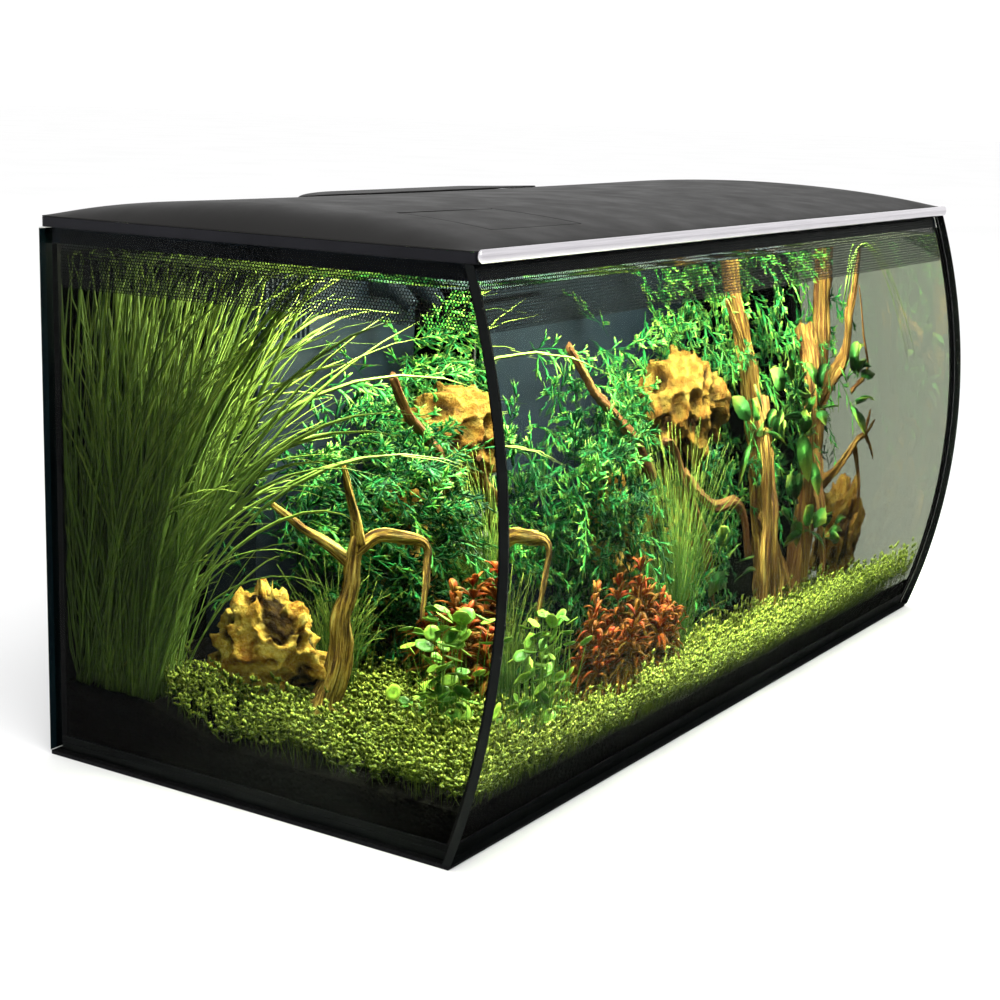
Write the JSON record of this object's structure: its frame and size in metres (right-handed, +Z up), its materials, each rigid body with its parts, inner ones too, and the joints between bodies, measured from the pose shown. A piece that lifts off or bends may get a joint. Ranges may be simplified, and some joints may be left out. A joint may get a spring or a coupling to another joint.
{
  "type": "aquarium tank",
  "caption": "Glass aquarium tank with a front pane that bows outwards, a lift-off crowned hood with feed flap and lamp, a rear filter box and a planted stone and driftwood layout.",
  "frame": {"origin": "bottom centre of the bounding box: the middle of the levelling mat's underside", "axes": "+Z up, +X along the tank's length to the viewer's right, -Y towards the curved front pane"},
  "size_m": [0.82, 0.4, 0.4167],
  "materials": {
    "clear_glass": "polished clear float glass",
    "black_silicone": "satin black silicone",
    "levelling_foam": "closed-cell black foam",
    "background_film": "dark blue-green backing film",
    "dot_film": "black film with a regular dot pattern",
    "black_plastic": "satin black moulded plastic",
    "grey_plastic": "fine-textured dark grey moulded plastic",
    "silver_trim": "satin silver",
    "steel": "machined",
    "lamp_diffuser": "white diffuser, lit",
    "lamp_board": "white coated circuit board",
    "filter_foam": "open-cell filter foam",
    "carbon_mesh": "mesh bag of activated carbon",
    "biomedia_mesh": "mesh bag of porous ceramic media",
    "impeller_plastic": "moulded",
    "soil": "black aquarium soil, fine grain",
    "dragon_stone": "ochre weathered stone with holes",
    "driftwood": "bare weathered driftwood",
    "green_leaf": "living water plants, translucent leaf",
    "grass_leaf": "long ribbon leaves",
    "red_leaf": "red-brown leaves"
  },
  "bodies": {
    "tank": {"levelling_mat": "levelling_foam", "bottom_pane": "clear_glass", "front_pane": "clear_glass", "left_pane": "clear_glass", "right_pane": "clear_glass", "back_pane": "clear_glass", "background_film": "background_film", "seam_front_left": "black_silicone", "seam_back_left": "black_silicone", "seam_front_right": "black_silicone", "seam_back_right": "black_silicone", "seam_bottom": "black_silicone", "rim_frame": "black_plastic", "film_front": "dot_film", "film_left": "dot_film", "film_right": "dot_film", "filter_housing": "black_plastic", "intake_grille": "black_plastic", "pump_housing": "black_plastic", "pump_cover": "black_plastic", "outlet_manifold": "black_plastic", "substrate": "soil", "driftwood_left": "driftwood", "driftwood_rear": "driftwood", "driftwood_right": "driftwood", "rock_left": "dragon_stone", "rock_middle": "dragon_stone", "rock_upper": "dragon_stone", "rock_base": "dragon_stone", "rock_right": "dragon_stone", "tall_grass": "grass_leaf", "fern_thicket_left": "green_leaf", "fern_thicket_right": "green_leaf", "red_bush": "red_leaf", "pennywort": "green_leaf", "hair_grass_left": "grass_leaf", "hair_grass_middle": "grass_leaf", "broad_leaf_plant": "green_leaf"},
    "hood": {"hood_crown": "grey_plastic", "feed_hinge_pin": "steel", "hood_frame": "black_plastic", "front_trim": "silver_trim", "cable_gland": "black_silicone", "lamp_housing": "black_plastic", "lamp_board": "lamp_board", "lamp_lens": "lamp_diffuser", "lamp_screw_1": "steel", "lamp_screw_2": "steel", "lamp_screw_3": "steel", "lamp_screw_4": "steel"},
    "feed_flap": {"feed_flap": "grey_plastic"},
    "service_hatch": {"service_hatch": "grey_plastic"},
    "foam_cartridge": {"foam_block": "filter_foam", "foam_handle": "black_plastic"},
    "media_basket": {"media_basket": "black_plastic", "carbon_bag": "carbon_mesh", "biomedia_bag": "biomedia_mesh"},
    "impeller": {"impeller": "impeller_plastic"},
    "return_nozzle_1": {"return_nozzle_1": "black_plastic"},
    "return_nozzle_2": {"return_nozzle_2": "black_plastic"}
  },
  "joints": [
    {"name": "hood_lift", "type": "slide", "parent": "tank", "child": "hood", "axis": [0, 0, 1], "range_m": [0, 0.15]},
    {"name": "feed_flap_hinge", "type": "hinge", "parent": "hood", "child": "feed_flap", "pos_m": [-0.2815, -0.062, 0.41126], "axis": [-1, 0, 0], "range_deg": [0, 80]},
    {"name": "service_hatch_lift", "type": "slide", "parent": "hood", "child": "service_hatch", "axis": [0, 0, 1], "range_m": [0, 0.08]},
    {"name": "foam_cartridge_lift", "type": "slide", "parent": "tank", "child": "foam_cartridge", "axis": [0, 0, 1], "range_m": [0, 0.03]},
    {"name": "media_basket_lift", "type": "slide", "parent": "tank", "child": "media_basket", "axis": [0, 0, 1], "range_m": [0, 0.03]},
    {"name": "impeller_spin", "type": "hinge", "parent": "tank", "child": "impeller", "pos_m": [0.09, 0.165, 0.048], "axis": [0, 1, 0], "continuous": true},
    {"name": "return_nozzle_1_swivel", "type": "hinge", "parent": "tank", "child": "return_nozzle_1", "pos_m": [0.062, 0.13, 0.335], "axis": [0, 1, 0], "range_deg": [-90, 90]},
    {"name": "return_nozzle_2_swivel", "type": "hinge", "parent": "tank", "child": "return_nozzle_2", "pos_m": [0.118, 0.13, 0.335], "axis": [0, 1, 0], "range_deg": [-90, 90]}
  ]
}
